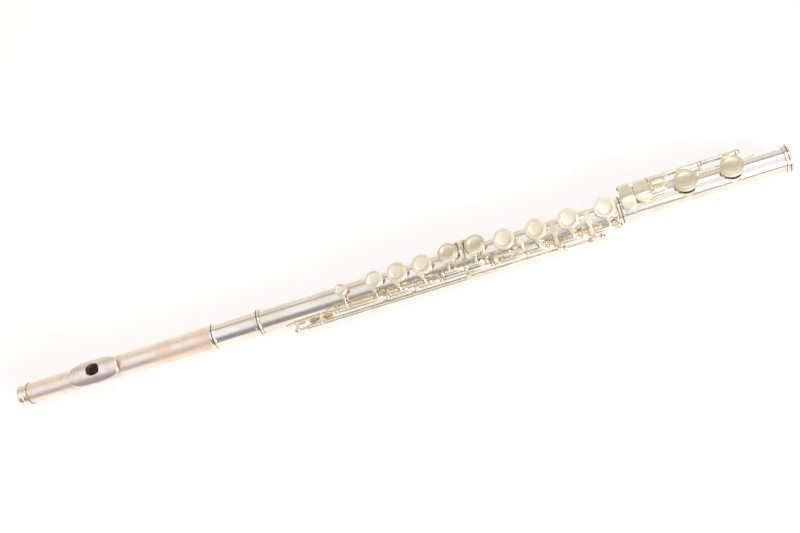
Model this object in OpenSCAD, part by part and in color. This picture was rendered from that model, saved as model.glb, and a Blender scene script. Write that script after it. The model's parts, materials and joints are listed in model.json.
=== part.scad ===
// Concert flute in three joints: head joint, body joint and C foot.
// X runs along the bore towards the foot and Z points the way the main key cups face.
// The rods of the body joint lie on the player's side, -Y. The origin is the open end of the foot.
// Distances along the tube are measured from the middle of the embouchure hole.
// Angles around the tube are measured from +Z, and grow towards the player.

/* [Tubes] */
// Bore of the body and foot
bore_d = 19; // [18.8:0.1:19.2]
// Wall of every tube
wall = 0.4; // [0.35:0.05:0.5]
// Bore of the head joint at its closed end
head_bore_d = 17; // [16.6:0.1:17.4]
// Embouchure centre to the closed end of the head tube
head_end = 70; // [66:0.5:74]
// Start of the barrel
barrel_start = 106; // [103:0.5:109]
// Length of the barrel
barrel_len = 45.6; // [43:0.1:47]
// Outer diameter of the barrel and of the foot socket
sleeve_d = 21; // [20.8:0.1:21.4]
// Outer diameter of the rings on the barrel, socket and foot
ring_d = 22.3; // [22:0.1:23]
// Length of each ring
ring_len = 4.8; // [4:0.1:5.2]
// Length of the foot socket that takes the body
socket_len = 12; // [10:0.5:13]
// Clearance on the radius of the two slip fits
slip_gap = 0.05; // [0.03:0.01:0.08]

/* [Head joint] */
// Turn of the head joint towards the player
head_turn = 9; // [0:1:20]
// Lip plate length along the tube
lip_len = 45; // [42:0.5:48]
// Lip plate width, across the tube
lip_width = 25; // [23:0.5:26]
// Radius of the lip plate's outer face
lip_r = 14.4; // [13.8:0.1:15]
// Thickness of the lip plate
lip_wall = 0.8; // [0.6:0.1:1]
// Embouchure hole length
hole_len = 12.2; // [11.5:0.1:12.6]
// Embouchure hole width
hole_width = 10.4; // [10:0.1:10.8]
// Wall of the embouchure riser
riser_wall = 0.7; // [0.5:0.1:0.9]
// Crown diameter
crown_d = 19.3; // [18.6:0.1:19.8]
// Crown length outside the tube
crown_len = 7; // [5.5:0.5:9]
// Stopper face to the embouchure centre
stopper_dist = 17.3; // [16:0.1:19]
// Length of the stopper cork
cork_len = 13; // [11:0.5:16]
// Diameter of the stopper's screw
screw_d = 6; // [5:0.5:7]

/* [Tone holes] */
// End of the barrel to the small C sharp hole
c_sharp_dist = 74.4; // [72:0.1:77]
// Small C sharp hole to the C hole
c_gap = 28.9; // [28:0.1:30]
// C hole to the B flat hole
bb_gap = 19.8; // [19.4:0.1:21]
// B flat hole to the A hole
a_gap = 21.3; // [20.5:0.1:22.5]
// A hole to the upper G hole
g_gap = 22.5; // [22:0.1:23.5]
// Upper G hole to the G sharp hole, on the far side
g_sharp_gap = 10.9; // [10.5:0.1:11.5]
// Upper G hole to the lower G hole
g_pair_gap = 22.7; // [22:0.1:23.5]
// Lower G hole to the F sharp hole
f_sharp_gap = 23.4; // [22.5:0.1:24.5]
// F sharp hole to the F hole
f_gap = 26.3; // [25.5:0.1:27]
// F hole to the E hole
e_gap = 26.7; // [26:0.1:27.5]
// E hole to the D hole
d_gap = 29.5; // [28.5:0.1:30.5]
// D hole to the start of the foot socket
socket_gap = 9; // [8.6:0.1:10]
// Foot socket to the D sharp hole of the foot
d_sharp_gap = 9.1; // [8.8:0.1:10.5]
// D sharp hole to the C sharp hole of the foot
low_c_sharp_gap = 33; // [32:0.1:34]
// C sharp hole to the low C hole
low_c_gap = 36.1; // [35:0.1:37]
// Low C hole to the open end of the foot
foot_tail = 44.9; // [43:0.1:47]
// D trill hole to the small C sharp hole
trill_dist = 20.8; // [20:0.1:21.5]
// D sharp trill hole to the D trill hole
trill_gap = 12; // [11.6:0.1:12.6]
// Small C sharp hole to the thumb hole, on the underside
thumb_dist = 12; // [11:0.1:13]
// Height of a tone-hole rim above the bore axis
rim_h = 11.6; // [11.4:0.1:11.9]
// Cup diameter of the small C sharp key
small_cup = 10.4; // [10:0.1:11]
// Cup diameter of the trill keys
trill_cup = 9.6; // [9:0.1:10]
// Cup diameter of the C and thumb keys
c_cup = 14.8; // [14.4:0.1:15]
// Cup diameter of the left hand's keys
left_cup = 17; // [16.6:0.1:17.4]
// Cup diameter of the right hand's keys
right_cup = 17.5; // [17:0.1:17.8]
// Cup diameter of the two large foot keys
foot_cup = 18.9; // [18.4:0.1:19.3]
// How much wider a cup is than its tone hole
cup_lap = 3.2; // [2.8:0.1:3.6]
// Cup diameter of the G sharp key
g_sharp_cup = 14; // [13.6:0.1:14.4]
// Turn of the G cups away from the player
g_turn = 11; // [8:0.5:13]

/* [Keywork] */
// Radius on which the rods lie
rod_r = 15.1; // [14.9:0.1:15.6]
// Angle of the main rod
main_rod_a = 72; // [70:0.5:74]
// Angle of the G rod
g_rod_a = 52.5; // [51:0.5:54]
// Angle of the trill rod
trill_rod_a = 104; // [102:0.5:106]
// Radius on which the trill rod lies
trill_rod_r = 16.3; // [16:0.1:16.6]
// Angle of the thumb rod
thumb_rod_a = 212; // [210:0.5:214]
// Length of the thumb rod between its posts
thumb_rod_len = 62; // [60:0.5:64]
// Trill rod before its first cup
trill_lead = 14; // [13:0.5:15]
// Angle of the foot rod
foot_rod_a = -60; // [-62:0.5:-58]
// Radius on which the foot rod lies
foot_rod_r = 16.4; // [16.2:0.1:16.8]
// Angle of the foot's two large cups
foot_turn = 4; // [0:0.5:6]
// Diameter of the steels
steel_d = 2; // [1.8:0.1:2.1]
// Diameter of the hinge tubes
hinge_d = 3.8; // [3.6:0.1:3.9]
// Clearance on the radius of a hinge tube on its steel
hinge_gap = 0.05; // [0.03:0.01:0.07]
// Gap between neighbouring hinge tubes
end_gap = 0.15; // [0.1:0.05:0.25]
// Diameter of a post's ball
post_d = 4.6; // [4.5:0.1:4.8]
// Length of a post along its rod
post_len = 3.2; // [2.8:0.1:3.6]
// How far an open key stands from closed
open_a = 9; // [8:0.5:10]
// Diameter of the rollers
roller_d = 4.6; // [4.2:0.1:5]
// Length of the rollers
roller_len = 9; // [8:0.5:9.5]

/* [Hidden] */

tube_d = bore_d + 2 * wall;
head_tube_d = head_bore_d + 2 * wall;
barrel_end = barrel_start + barrel_len;
c_small_hole = barrel_end + c_sharp_dist;
c_hole = c_small_hole + c_gap;
bb_hole = c_hole + bb_gap;
a_hole = bb_hole + a_gap;
g_upper_hole = a_hole + g_gap;
g_sharp_hole = g_upper_hole + g_sharp_gap;
g_lower_hole = g_upper_hole + g_pair_gap;
f_sharp_hole = g_lower_hole + f_sharp_gap;
f_hole = f_sharp_hole + f_gap;
e_hole = f_hole + e_gap;
d_hole = e_hole + d_gap;
trill_second_hole = c_small_hole - trill_dist;
trill_first_hole = trill_second_hole - trill_gap;
thumb_hole = c_small_hole + thumb_dist;
barrel_step = barrel_end - 9;
tenon_end = barrel_step - 0.3;
socket_start = d_hole + socket_gap;
body_end = socket_start + socket_len;
foot_start = body_end + 0.3;
socket_end = foot_start + 1.5;
foot_d_sharp_hole = socket_end + d_sharp_gap;
foot_c_sharp_hole = foot_d_sharp_hole + low_c_sharp_gap;
low_c_hole = foot_c_sharp_hole + low_c_gap;
// Embouchure centre to the open end of the foot
sounding_len = low_c_hole + foot_tail;
pad_gap = 0.05;
pad_h = 2.2;
cup_h = 3.2;
rim_wall = 0.5;
hinge_bore = steel_d + 2 * hinge_gap;
rib_t = 1;
rib_r = tube_d / 2 + rib_t;
spring_d = 0.7;
gold = "#d9cc9a";
steel = "#8f8f8c";
silver = "#cfc9c4";
felt = "#c9a86a";

// Posts along the main rod
post_1 = c_small_hole - 8.5;
post_2 = mix(c_hole, bb_hole, 0.32);
post_3 = mix(a_hole, g_upper_hole, 0.5);
post_4 = mix(g_lower_hole, f_sharp_hole, 0.38);
post_5 = mix(f_hole, e_hole, 0.42);
post_6 = d_hole + 6.8;
// Where two hinge tubes meet on the main rod
bb_a_meet = mix(bb_hole, a_hole, 0.45);
lever_end = post_4 + 6.4;
fs_f_meet = mix(f_sharp_hole, f_hole, 0.5);
e_d_meet = mix(e_hole, d_hole, 0.42);
// Posts of the G, trill, thumb and foot rods
g_post_1 = g_upper_hole - 8.6;
g_post_2 = g_lower_hole + 5.4;
g_hub = g_sharp_hole;
trill_post_1 = trill_first_hole - trill_lead;
trill_post_2 = mix(trill_first_hole, trill_second_hole, 0.6);
trill_post_3 = post_5 + 6.6;
trill_post_4 = e_d_meet + 9;
trill_touch_1 = mix(e_hole, d_hole, 0.5);
trill_touch_2 = mix(f_hole, e_hole, 0.5);
thumb_post_1 = thumb_hole - 8;
thumb_post_2 = thumb_post_1 + thumb_rod_len;
foot_post_1 = socket_start + ring_len + 1.9;
foot_post_2 = mix(foot_c_sharp_hole, low_c_hole, 0.4);
foot_post_3 = low_c_hole + 8;
ds_c_meet = foot_d_sharp_hole - 4;
c_cs_meet = foot_d_sharp_hole + 5;

main_rod = ray_yz(rod_r, main_rod_a);
g_rod = ray_yz(rod_r, g_rod_a);
trill_rod = ray_yz(trill_rod_r, trill_rod_a);
thumb_rod = ray_yz(rod_r, thumb_rod_a);
foot_rod = ray_yz(foot_rod_r, foot_rod_a);
g_cup_a = -g_turn;
g_sharp_cup_a = -64;
trill_cup_a = 137;
thumb_cup_a = 172;
ds_cup_a = -117;

function mix(a, b, t) = a + (b - a) * t;
function at(z) = z - sounding_len;
// The head joint's bore widens evenly from the closed end to the barrel
function head_bore(z) = mix(head_bore_d, bore_d, (z + head_end) / (barrel_start + head_end));
function ray_yz(r, a) = [-r * sin(a), r * cos(a)];
function along(p, q, t) = p + (q - p) * t;
// A point of a quadratic curve and the outline of a strip that follows it
function bend(p, t) = along(along(p[0], p[1], t), along(p[1], p[2], t), t);
function unit(v) = v / norm(v);
function side(v) = [-v.y, v.x];
function heading(p, t) = unit(bend(p, t + 0.02) - bend(p, t - 0.02));
function strip(p, t0, t1, n = 8) = concat(
    [for (i = [0:n]) bend(p, i / n) + side(heading(p, i / n)) * mix(t0, t1, i / n) / 2],
    [for (i = [n:-1:0]) bend(p, i / n) - side(heading(p, i / n)) * mix(t0, t1, i / n) / 2]);
// A rounded outline, square-shouldered where the power is above 2
function oval(l, w, power = 2.5, n = 48) = [for (i = [0:n - 1])
    let (c = cos(i * 360 / n), s = sin(i * 360 / n))
    [l / 2 * sign(c) * pow(abs(c), 2 / power), w / 2 * sign(s) * pow(abs(s), 2 / power)]];
// A paddle's outline: full at one end and drawn in towards the other
function drop(l, w, n = 36) = [for (i = [0:n - 1])
    let (c = cos(i * 360 / n), s = sin(i * 360 / n)) [l / 2 * c, w / 2 * s * (1 - 0.35 * c)]];

// A solid rod and a tube from one distance along the flute to another
module rod(d, from, to) translate([at(from), 0, 0]) rotate([0, 90, 0])
    cylinder(d = d, h = to - from, $fn = 64);
module pipe(od, id, from, to) difference() {
    rod(od, from, to);
    rod(id, from - 1, to + 1);
}
module at_rod(p) translate([0, p.x, p.y]) children();
// What stands on the tube's outside, with local Z pointing away from the axis
module facing(a, z, h = 0) rotate([a, 0, 0]) translate([at(z), 0, h]) children();
module swung(p, a) translate([0, p.x, p.y]) rotate([a, 0, 0]) translate([0, -p.x, -p.y]) children();
// A turned ring with a groove round it
module ring_at(from, to, id, od = ring_d) translate([at(from), 0, 0]) rotate([0, 90, 0])
    rotate_extrude($fn = 96) {
    h = (od - id) / 2;
    l = to - from;
    translate([id / 2, 0]) polygon([[0, 0], [h - 0.4, 0], [h, l * 0.14], [h, l * 0.5],
        [h - 0.35, l * 0.54], [h - 0.35, l * 0.63], [h - 0.1, l * 0.67], [h - 0.1, l * 0.86],
        [h - 0.4, l], [0, l]]);
}

// A key cup over its tone hole: rounded shoulder, flat land and a stepped, dished middle
module cup(z, d, a) facing(a, z, rim_h) rotate_extrude($fn = 64) {
    r = d / 2;
    polygon(concat([[0, pad_h + pad_gap], [r - 0.5, pad_h + pad_gap], [r - 0.5, 0.8], [r, 0.8]],
        [for (i = [0:4]) [r - 0.8 + 0.8 * cos(i * 22.5), cup_h - 0.8 + 0.8 * sin(i * 22.5)]],
        [[r * 0.68, cup_h], [r * 0.65, cup_h - 0.24], [r * 0.48, cup_h - 0.42],
        [r * 0.25, cup_h - 0.57], [0, cup_h - 0.62]]));
}
module pad(z, d, a) color(felt) facing(a, z, rim_h + pad_gap)
    cylinder(r = d / 2 - 0.5, h = pad_h, $fn = 64);
// An arm that curves from a rod to the near edge of a cup
module arm(z, p, tip, knee, w_rod = 2.6, w_tip = 4.6) {
    reach = norm(tip - p);
    intersection() {
        translate([at(z), 0, 0]) rotate([90, 0, 90]) linear_extrude(8, center = true)
            polygon(strip([p, knee, tip], 2.2, 1.3));
        translate([at(z), p.x, p.y]) rotate([atan2(tip.y - p.y, tip.x - p.x), 0, 0])
            linear_extrude(60, center = true) polygon([[-w_rod / 2, -3], [w_rod / 2, -3],
                [w_rod / 2, reach * 0.35], [w_tip / 2, reach + 2], [-w_tip / 2, reach + 2],
                [-w_rod / 2, reach * 0.35]]);
    }
}
// Where an arm meets a cup: on its land, at the edge that faces the rod
function cup_edge(d, a, toward) = turned([toward * (d / 2 - 2.2), rim_h + cup_h - 0.4], a);
function turned(p, a) = [p.x * cos(a) - p.y * sin(a), p.x * sin(a) + p.y * cos(a)];
module cup_arm(z, p, d, a, toward = -1, shift = 1.5) {
    tip = cup_edge(d, a, toward);
    arm(z + shift, p, tip, along(p, tip, 0.45) + 2.6 * side(unit(p - tip)) * -toward);
}
module hinge(p, from, to) at_rod(p) pipe(hinge_d, hinge_bore, from + end_gap / 2, to - end_gap / 2);
module pinned_hinge(p, from, to) at_rod(p) rod(hinge_d, from + end_gap / 2, to - end_gap / 2);
// A collar with an ear, where one key passes its motion to the next
module clutch(p, z, ear_a) at_rod(p) difference() {
    union() {
        rod(hinge_d + 1.1, z - 0.8, z + 0.8);
        rotate([ear_a, 0, 0]) translate([at(z) - 0.8, -1.1, 0]) cube([1.6, 2.2, hinge_d / 2 + 2.1]);
    }
    rod(hinge_bore, z - 2, z + 2);
}
// A turned post: ball with flat faces, neck and foot, seated on the rib
module post(z, p, hole_d, seat_r = rib_r) {
    a = atan2(-p.x, p.y);
    reach = norm(p);
    difference() {
        union() {
            intersection() {
                at_rod(p) translate([at(z), 0, 0]) sphere(d = post_d, $fn = 48);
                at_rod(p) rod(post_d + 2, z - post_len / 2, z + post_len / 2);
            }
            facing(a, z, seat_r - 1) cylinder(d = 2.2, h = reach - seat_r + 1, $fn = 32);
            facing(a, z, seat_r - 1) cylinder(d = 3.2, h = 1.7, $fn = 32);
        }
        at_rod(p) rod(hole_d, z - 4, z + 4);
        rod(2 * seat_r, z - 6, z + 6);
    }
}
// A rib is a skin on the tube, cut to straps that lie along it
module rib_skin(from, to) intersection() {
    pipe(2 * rib_r, tube_d, from, to);
    children();
}
// A strap of a rib, centred on an angle, with each end drawn to a point over its own length
module strap(from, to, a, w, tip_1 = 9, tip_2 = 9) rotate([a, 0, 0]) linear_extrude(30)
    polygon([[at(from), 0], [at(from + tip_1), w / 2], [at(to - tip_2), w / 2], [at(to), 0],
        [at(to - tip_2), -w / 2], [at(from + tip_1), -w / 2]]);
module spring(z, p, len) at_rod(p) translate([at(z), 0, 0]) rotate([0, 90 * sign(len), 0])
    cylinder(d = spring_d, h = abs(len), $fn = 16);
// A curved plate on a radius about the bore, cut to an outline that faces out
module shell_plate(outline, z, a, r, t, y = 0, spin = 0) rotate([a, 0, 0]) intersection() {
    translate([at(z), y, 0]) linear_extrude(40) rotate(spin) polygon(outline);
    pipe(2 * r, 2 * (r - t), z - 40, z + 40);
}
// The rims drawn up round the tone holes, and the holes themselves where the wall is 0
module chimneys(holes, wall = 0) for (h = holes) facing(h[2], h[0], 0)
    cylinder(d = h[1] - cup_lap + 2 * wall, h = wall > 0 ? rim_h : rim_h + 5, $fn = 96);

// Position, cup diameter and angle of every hole in the body and the foot
body_holes = [[c_small_hole, small_cup, 0], [c_hole, c_cup, 0], [bb_hole, left_cup, 0],
    [a_hole, left_cup, 0], [g_upper_hole, left_cup, g_cup_a], [g_lower_hole, left_cup, g_cup_a],
    [g_sharp_hole, g_sharp_cup, g_sharp_cup_a], [f_sharp_hole, right_cup, 0], [f_hole, right_cup, 0],
    [e_hole, right_cup, 0], [d_hole, right_cup, 0], [trill_first_hole, trill_cup, trill_cup_a],
    [trill_second_hole, trill_cup, trill_cup_a], [thumb_hole, c_cup, thumb_cup_a]];
foot_holes = [[foot_d_sharp_hole, left_cup, ds_cup_a], [foot_c_sharp_hole, foot_cup, foot_turn],
    [low_c_hole, foot_cup, foot_turn]];

// Head joint
module head_form(d_end, d_mouth) union() {
    translate([at(-head_end), 0, 0]) rotate([0, 90, 0])
        cylinder(d1 = d_end, d2 = d_mouth, h = barrel_start + head_end, $fn = 96);
    rod(d_mouth, barrel_start, tenon_end);
}
module mouth_hole() facing(head_turn, 0, 2) linear_extrude(20) polygon(oval(hole_len, hole_width));
module head_tube() color("#c9a698") difference() {
    head_form(head_tube_d, tube_d);
    head_form(head_bore_d, bore_d);
    rod(bore_d, tenon_end - 1, tenon_end + 1);
    translate([-1, 0, 0]) rod(head_bore_d, -head_end, -head_end + 1.01);
    mouth_hole();
}
module lip_plate() color("#bdb3ae") difference() {
    shell_plate(oval(lip_len, lip_width, 3.2), 0, head_turn, lip_r, lip_wall);
    mouth_hole();
}
module riser() color("#b7ada8") difference() {
    facing(head_turn, 0, 6) linear_extrude(12)
        polygon(oval(hole_len + 2 * riser_wall, hole_width + 2 * riser_wall));
    head_form(head_tube_d, tube_d);
    mouth_hole();
    pipe(60, 2 * (lip_r - lip_wall), -20, 20);
}
module crown() color("#d8bd6c") translate([at(-head_end), 0, 0]) rotate([0, -90, 0])
    rotate_extrude($fn = 96) {
    r = crown_d / 2;
    plug = head_bore_d / 2 - slip_gap;
    hole = screw_d / 2 + slip_gap;
    polygon(concat([[hole, -7], [plug, -7], [plug, 0.1], [r - 0.5, 0.1], [r, 0.6],
        [r, crown_len * 0.42], [r - 0.5, crown_len * 0.46], [r - 0.5, crown_len * 0.52],
        [r - 0.1, crown_len * 0.56]],
        [for (i = [1:7]) [(r - 0.1) * cos(i * 11) , crown_len * (0.56 + 0.44 * sin(i * 90 / 7))]],
        [[0, crown_len], [0, crown_len - 1.4], [hole, crown_len - 1.4]]));
}
module stopper_screw() color(steel) {
    rod(screw_d, -head_end - crown_len + 3, -stopper_dist - cork_len - 1.2);
    rod(head_bore_d - 0.8, -stopper_dist - cork_len - 1.2, -stopper_dist - cork_len);
}
module stopper_cork() color("#b98d5e") {
    rod(head_bore(-stopper_dist - cork_len - 4) - 2 * slip_gap, -stopper_dist - cork_len,
        -stopper_dist - 1);
    color(silver) rod(head_bore_d - 0.6, -stopper_dist - 1, -stopper_dist);
}

// Body joint
module body_tube() color(silver) difference() {
    union() {
        rod(tube_d, barrel_step, body_end);
        chimneys(body_holes, rim_wall);
    }
    rod(bore_d, barrel_step - 1, body_end + 1);
    chimneys(body_holes);
}
module barrel() color(silver) {
    difference() {
        rod(sleeve_d, barrel_start, barrel_end);
        rod(tube_d + 2 * slip_gap, barrel_start - 1, barrel_step);
        rod(tube_d, barrel_step - 1, barrel_end + 1);
    }
    ring_at(barrel_start, barrel_start + ring_len, sleeve_d - 0.1);
    ring_at(barrel_end - ring_len, barrel_end, sleeve_d - 0.1);
}
module main_rib() color(gold) rib_skin(trill_post_1 - 10, socket_start - 0.3) {
    strap(trill_post_1 - 9, trill_post_4 + 9, trill_rod_a - 3, 4.4);
    strap(post_1 - 10, socket_start + 9, main_rod_a - 1, 7);
    for (z = [g_post_1, g_post_2]) strap(z - 5, z + 5, g_rod_a - 1, 4.4, 2, 2);
}
module thumb_rib() color(gold) difference() {
    rib_skin(thumb_post_1 - 8, thumb_post_2 + 8)
        strap(thumb_post_1 - 8, thumb_post_2 + 8, thumb_rod_a, 3.2, 5, 5);
    chimneys([[thumb_hole, c_cup, thumb_cup_a]], rim_wall + pad_gap);
}
module main_posts() color(gold) {
    for (z = [post_1, post_2, post_3, post_4]) post(z, main_rod, hinge_bore);
    for (z = [post_5, post_6]) post(z, main_rod, steel_d);
}
module g_posts() color(gold) for (z = [g_post_1, g_post_2]) post(z, g_rod, hinge_bore);
module trill_posts() color(gold)
    for (z = [trill_post_1, trill_post_2, trill_post_3, trill_post_4]) post(z, trill_rod, hinge_bore);
module thumb_posts() color(gold) for (z = [thumb_post_1, thumb_post_2]) post(z, thumb_rod, steel_d);
module right_steel() color(steel) at_rod(main_rod) rod(steel_d, lever_end + end_gap, post_6 + 2.2);
module thumb_steel() color(steel) at_rod(thumb_rod)
    rod(steel_d, thumb_post_1 - 2, thumb_post_2 + 2);
module body_springs() color("#6f6a60") {
    s = ray_yz(rib_r + 0.9, main_rod_a + 5);
    for (z = [post_2, post_3, post_6]) spring(z - 1.7, s, -11);
    for (z = [post_4, post_5]) spring(z + 1.7, s, 11);
    for (z = [trill_post_1]) spring(z + 1.7, ray_yz(rib_r + 0.9, trill_rod_a), 6);
}

// Keys of the body joint
module main_key(z, d, from, to, shift = -2.4) {
    hinge(main_rod, from, to);
    cup_on_rod(z, d, 0, main_rod, shift);
}
module cup_on_rod(z, d, a, p, shift = -2.4) swung(p, open_a) difference() {
    union() {
        cup(z, d, a);
        cup_arm(z, p, d, a, -1, shift);
    }
    at_rod(p) rod(hinge_d - 0.6, z - 20, z + 20);
    pad_room(z, d, a);
}
// The seat of the pad in its cup, and the way down to the hole
module pad_room(z, d, a) facing(a, z, rim_h - 8)
    cylinder(r = d / 2 - 0.5, h = 8 + pad_h + pad_gap, $fn = 64);
module c_key() color(gold) {
    main_key(c_hole, c_cup, post_1 + post_len / 2, post_2 - post_len / 2);
    cup_on_rod(c_small_hole, small_cup, 0, main_rod, 0);
}
module c_pads() swung(main_rod, open_a) {
    pad(c_small_hole, small_cup, 0);
    pad(c_hole, c_cup, 0);
}
// The B flat key is pinned to a steel that runs through its neighbours to a lever by the F sharp key
module bb_key() color(gold) {
    at_rod(main_rod) rod(steel_d, post_1 - 1.2, lever_end);
    pinned_hinge(main_rod, post_2 + post_len / 2, bb_a_meet);
    pinned_hinge(main_rod, post_3 + post_len / 2, post_4 - post_len / 2);
    pinned_hinge(main_rod, post_4 + post_len / 2, lever_end);
    cup_on_rod(bb_hole, left_cup, 0, main_rod);
    lever_yz = main_rod + [1.5, 7.6];
    arm(mix(post_4 + post_len / 2, lever_end, 0.5), main_rod, lever_yz, main_rod + [0.2, 4.5], 3, 3);
    translate([at(post_4 + 2.6), lever_yz.x - 1, lever_yz.y - 0.6])
        cube([fs_f_meet + 10 - post_4 - 2.6, 2, 1.1]);
    shell_plate(oval(4.4, 9.4, 2.8), fs_f_meet - 1.3, 31, rod_r + 3.5, 1.2);
}
module bb_pad() swung(main_rod, open_a) pad(bb_hole, left_cup, 0);
module a_key() color(gold) {
    main_key(a_hole, left_cup, bb_a_meet, post_3 - post_len / 2);
    clutch(main_rod, bb_a_meet + 1.4, 30);
}
module a_pad() swung(main_rod, open_a) pad(a_hole, left_cup, 0);
module g_key() color(gold) {
    at_rod(g_rod) rod(steel_d, g_post_1 - 1.8, g_post_2 + 1.8);
    pinned_hinge(g_rod, g_post_1 + post_len / 2, g_hub - 2);
    pinned_hinge(g_rod, g_hub + 2, g_post_2 - post_len / 2);
    for (z = [g_upper_hole, g_lower_hole]) cup_on_rod(z, left_cup, g_cup_a, g_rod, -2.6);
}
module g_pads() swung(g_rod, open_a) for (z = [g_upper_hole, g_lower_hole]) pad(z, left_cup, g_cup_a);
module g_sharp_key() color(gold) {
    hinge(g_rod, g_hub - 2, g_hub + 2);
    far = turned([-g_sharp_cup / 2 + 2.2, rim_h + cup_h - 0.4], g_sharp_cup_a);
    difference() {
        union() {
            cup(g_sharp_hole, g_sharp_cup, g_sharp_cup_a);
            arm(g_hub, g_rod, far, [0, rim_h + cup_h + 10.7], 2.4, 2.4);
            arm(g_hub, g_rod, main_rod + [-4.5, -1.2], main_rod + [-3.1, 5.8], 2.4, 3.4);
        }
        at_rod(g_rod) rod(hinge_d - 0.6, g_hub - 9, g_hub + 9);
        pad_room(g_sharp_hole, g_sharp_cup, g_sharp_cup_a);
    }
    translate([at(g_hub + 6), main_rod.x - 4, main_rod.y - 2.3]) rotate([90, 0, 0])
        linear_extrude(1.2) polygon(drop(17, 4.2));
}
module g_sharp_pad() pad(g_sharp_hole, g_sharp_cup, g_sharp_cup_a);
// The thumb key is shown shut, because the flute lies on it
module thumb_key() color(gold) {
    hinge(thumb_rod, thumb_post_1 + post_len / 2, thumb_post_2 - post_len / 2);
    difference() {
        union() {
            cup(thumb_hole, c_cup, thumb_cup_a);
            thumb_arm(thumb_hole + 1.5, cup_edge(c_cup, thumb_cup_a, 1));
            for (t = [0.39, 0.8]) thumb_arm(thumb_at(t), ray_yz(rod_r + 2.1, 147));
            shell_plate(oval(19, 12), thumb_at(0.45), 140, rod_r + 2.7, 1.1);
            shell_plate(oval(15, 8), thumb_at(0.74), 142, rod_r + 2.7, 1.1);
        }
        at_rod(thumb_rod) rod(hinge_d - 0.6, thumb_post_1 - 9, thumb_post_2 + 9);
        pad_room(thumb_hole, c_cup, thumb_cup_a);
    }
}
function thumb_at(t) = mix(thumb_post_1, thumb_post_2, t);
module thumb_arm(z, tip) arm(z, thumb_rod, tip, along(thumb_rod, tip, 0.5) * 1.16, 3, 3.4);
module thumb_pad() pad(thumb_hole, c_cup, thumb_cup_a);
module f_sharp_key() color(gold)
    main_key(f_sharp_hole, right_cup, lever_end, fs_f_meet, 6.4);
module f_sharp_pad() swung(main_rod, open_a) pad(f_sharp_hole, right_cup, 0);
module f_key() color(gold) {
    main_key(f_hole, right_cup, fs_f_meet, post_5 - post_len / 2, -1);
    clutch(main_rod, fs_f_meet + 1.4, 30);
}
module f_pad() swung(main_rod, open_a) pad(f_hole, right_cup, 0);
module e_key() color(gold) {
    main_key(e_hole, right_cup, post_5 + post_len / 2, e_d_meet, 0);
    clutch(main_rod, e_d_meet - 1.4, 30);
}
module e_pad() swung(main_rod, open_a) pad(e_hole, right_cup, 0);
module d_key() color(gold) {
    main_key(d_hole, right_cup, e_d_meet, post_6 - post_len / 2, 0);
    clutch(main_rod, post_6 - 2.8, 30);
}
module d_pad() swung(main_rod, open_a) pad(d_hole, right_cup, 0);

// Trill keys: the D sharp key is a long steel, and the D key is a tube over it
module trill_cup_arm(z) difference() {
    union() {
        cup(z, trill_cup, trill_cup_a);
        cup_arm(z, trill_rod, trill_cup, trill_cup_a, 1, 0.5);
    }
    at_rod(trill_rod) rod(hinge_d - 0.6, z - 20, z + 20);
    pad_room(z, trill_cup, trill_cup_a);
}
// The touch piece lies across the tube between two cups, above them
module trill_touch(z) difference() {
    union() {
        arm(z, trill_rod, main_rod + [1, rod_r - 4.6], main_rod - [11.1, -1.8], 2.8, 3);
        translate([at(z), -rod_r / 2, rim_h + 3.1]) linear_extrude(1.2) rotate(-90)
            polygon(drop(14, 5));
    }
    at_rod(trill_rod) rod(hinge_d - 0.6, z - 9, z + 9);
}
module d_trill_key() color(gold) {
    hinge(trill_rod, trill_post_2 + post_len / 2, trill_post_3 - post_len / 2);
    trill_cup_arm(trill_second_hole);
    trill_touch(trill_touch_2);
}
module d_trill_pad() pad(trill_second_hole, trill_cup, trill_cup_a);
module d_sharp_trill_key() color(gold) {
    at_rod(trill_rod) rod(steel_d, trill_post_1 - 1.2, trill_post_4 + 1.8);
    pinned_hinge(trill_rod, trill_first_hole - 5, trill_post_2 - post_len / 2);
    pinned_hinge(trill_rod, trill_touch_1 - 4, trill_post_4 - post_len / 2);
    trill_cup_arm(trill_first_hole);
    trill_touch(trill_touch_1);
}
module d_sharp_trill_pad() pad(trill_first_hole, trill_cup, trill_cup_a);

// Foot joint
module foot_tube() color(silver) difference() {
    union() {
        rod(tube_d, foot_start, sounding_len);
        chimneys(foot_holes, rim_wall);
    }
    rod(bore_d, foot_start - 1, sounding_len + 1);
    chimneys(foot_holes);
}
module foot_socket() color(silver) {
    difference() {
        rod(sleeve_d, socket_start, socket_end);
        rod(tube_d + 2 * slip_gap, socket_start - 1, foot_start);
        rod(tube_d, foot_start - 1, socket_end + 1);
    }
    ring_at(socket_start, socket_start + ring_len, sleeve_d - 0.1);
    ring_at(socket_end - 2, socket_end, sleeve_d - 0.1);
}
module foot_end_ring() color(silver) ring_at(sounding_len - ring_len, sounding_len, tube_d);
module foot_rib() color(gold) difference() {
    rib_skin(socket_end + 0.5, foot_post_3 + 12)
        strap(socket_end - 4, foot_post_3 + 12, foot_rod_a, 4.2);
    chimneys(foot_holes, rim_wall + pad_gap);
}
module foot_posts() color(gold) {
    post(foot_post_1, foot_rod, hinge_bore, sleeve_d / 2);
    for (z = [foot_post_2, foot_post_3]) post(z, foot_rod, hinge_bore);
}
module foot_springs() color("#6f6a60") {
    s = ray_yz(rib_r + 0.9, foot_rod_a);
    spring(foot_post_2 - 1.7, s, -12);
    spring(foot_post_3 - 1.7, s, -10);
}
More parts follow.
